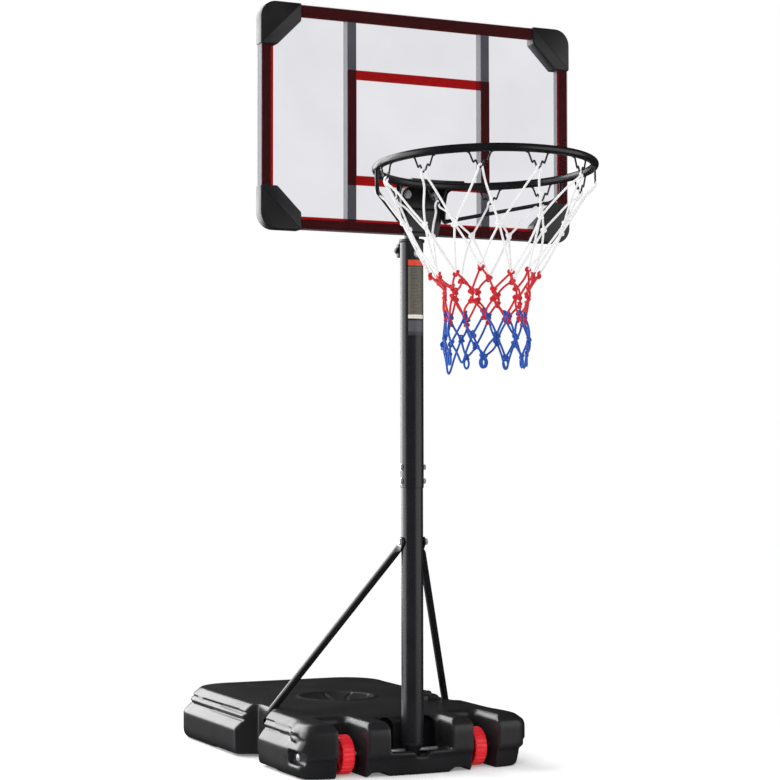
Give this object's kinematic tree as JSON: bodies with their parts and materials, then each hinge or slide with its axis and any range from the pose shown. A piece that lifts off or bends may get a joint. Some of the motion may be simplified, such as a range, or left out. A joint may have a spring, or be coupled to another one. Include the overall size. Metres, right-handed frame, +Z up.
{
  "type": "portable basketball hoop",
  "caption": "Freestanding basketball hoop on a wheeled ballast base, with a braced pole, a telescoping top tube, a clear framed backboard, a ring rim and a net.",
  "frame": {"origin": "on the floor, under the middle of the whole object", "axes": "+Z up; the rim and the front of the backboard face -Y; +X is to the right of someone who faces the board from the rim side"},
  "size_m": [0.712, 1.3478, 1.5765],
  "materials": {
    "tank_plastic": "blow-moulded polyethylene, slightly waxy",
    "black_plastic": "moulded black plastic, fine grain",
    "black_steel": "black powder coat, satin",
    "zinc_steel": "bright zinc plate",
    "red_plastic": "moulded red plastic",
    "clear_panel": "clear acrylic sheet, slightly milky",
    "red_print": "red screen print on the back of the panel",
    "scale_film": "printed vinyl film",
    "net_cord": "braided polyester cord, white, red and blue"
  },
  "bodies": {
    "base": {"axle_cap_left": "zinc_steel", "axle_cap_right": "zinc_steel", "axle_rod": "zinc_steel", "base_tank": "tank_plastic", "clamp_nut": "black_steel", "collar_screw": "zinc_steel", "filler_neck": "tank_plastic", "height_scale": "scale_film", "joint_lower_bolt": "zinc_steel", "joint_lower_nut": "zinc_steel", "joint_upper_bolt": "zinc_steel", "joint_upper_nut": "zinc_steel", "pole_foot": "black_plastic", "pole_lower": "black_steel", "pole_upper": "black_steel", "strut_bolt": "zinc_steel", "strut_left": "black_steel", "strut_nut": "zinc_steel", "strut_right": "black_steel", "strut_screw_left": "zinc_steel", "strut_screw_right": "zinc_steel", "top_collar": "black_plastic"},
    "carriage": {"bar_left": "black_steel", "bar_right": "black_steel", "board_panel": "clear_panel", "border_print": "red_print", "brace_left": "black_steel", "brace_right": "black_steel", "bracket_lower_bolt": "zinc_steel", "bracket_lower_nut": "zinc_steel", "bracket_upper_bolt": "zinc_steel", "bracket_upper_nut": "zinc_steel", "corner_cover_bottom_left": "black_plastic", "corner_cover_bottom_right": "black_plastic", "corner_cover_top_left": "black_plastic", "corner_cover_top_right": "black_plastic", "inner_tube": "black_steel", "mount_bracket": "black_steel", "net": "net_cord", "rail_bottom": "black_steel", "rail_left": "black_steel", "rail_right": "black_steel", "rail_top": "black_steel", "rim_bolt_left": "zinc_steel", "rim_bolt_right": "zinc_steel", "rim_bracket": "black_steel", "rim_nut_left": "zinc_steel", "rim_nut_right": "zinc_steel", "rim_ring": "black_steel", "target_print": "red_print", "tube_glide": "black_plastic"},
    "wheel_left": {"wheel_left": "red_plastic"},
    "wheel_right": {"wheel_right": "red_plastic"},
    "filler_plug": {"filler_plug": "black_plastic"},
    "filler_cap": {"filler_cap": "black_plastic"},
    "clamp_screw": {"clamp_screw": "zinc_steel"},
    "clamp_knob": {"clamp_knob": "black_plastic"}
  },
  "joints": [
    {"name": "height_slide", "type": "slide", "parent": "base", "child": "carriage", "axis": [0, 0, 1], "range_m": [0, 0.3]},
    {"name": "wheel_left_spin", "type": "hinge", "parent": "base", "child": "wheel_left", "pos_m": [-0.152, -0.09807, 0.0425], "axis": [1, 0, 0], "continuous": true},
    {"name": "wheel_right_spin", "type": "hinge", "parent": "base", "child": "wheel_right", "pos_m": [0.152, -0.09807, 0.0425], "axis": [1, 0, 0], "continuous": true},
    {"name": "screw_travel", "type": "slide", "parent": "base", "child": "clamp_screw", "axis": [0, 1, 0], "range_m": [0, 0.012]},
    {"name": "knob_turn", "type": "hinge", "parent": "clamp_screw", "child": "clamp_knob", "pos_m": [0, -0.07307, 1.092], "axis": [0, 1, 0], "range_deg": [0, 2880]},
    {"name": "cap_rise", "type": "slide", "parent": "base", "child": "filler_plug", "axis": [0, 0, 1], "range_m": [0, 0.009]},
    {"name": "cap_turn", "type": "hinge", "parent": "filler_plug", "child": "filler_cap", "pos_m": [0.15, 0.15193, 0.12529], "axis": [0, 0, 1], "range_deg": [0, 1080]}
  ],
  "couplings": [
    {"joint": "screw_travel", "follows": "knob_turn", "m_per_rad": 0.00023873},
    {"joint": "cap_rise", "follows": "cap_turn", "m_per_rad": 0.00047746}
  ]
}
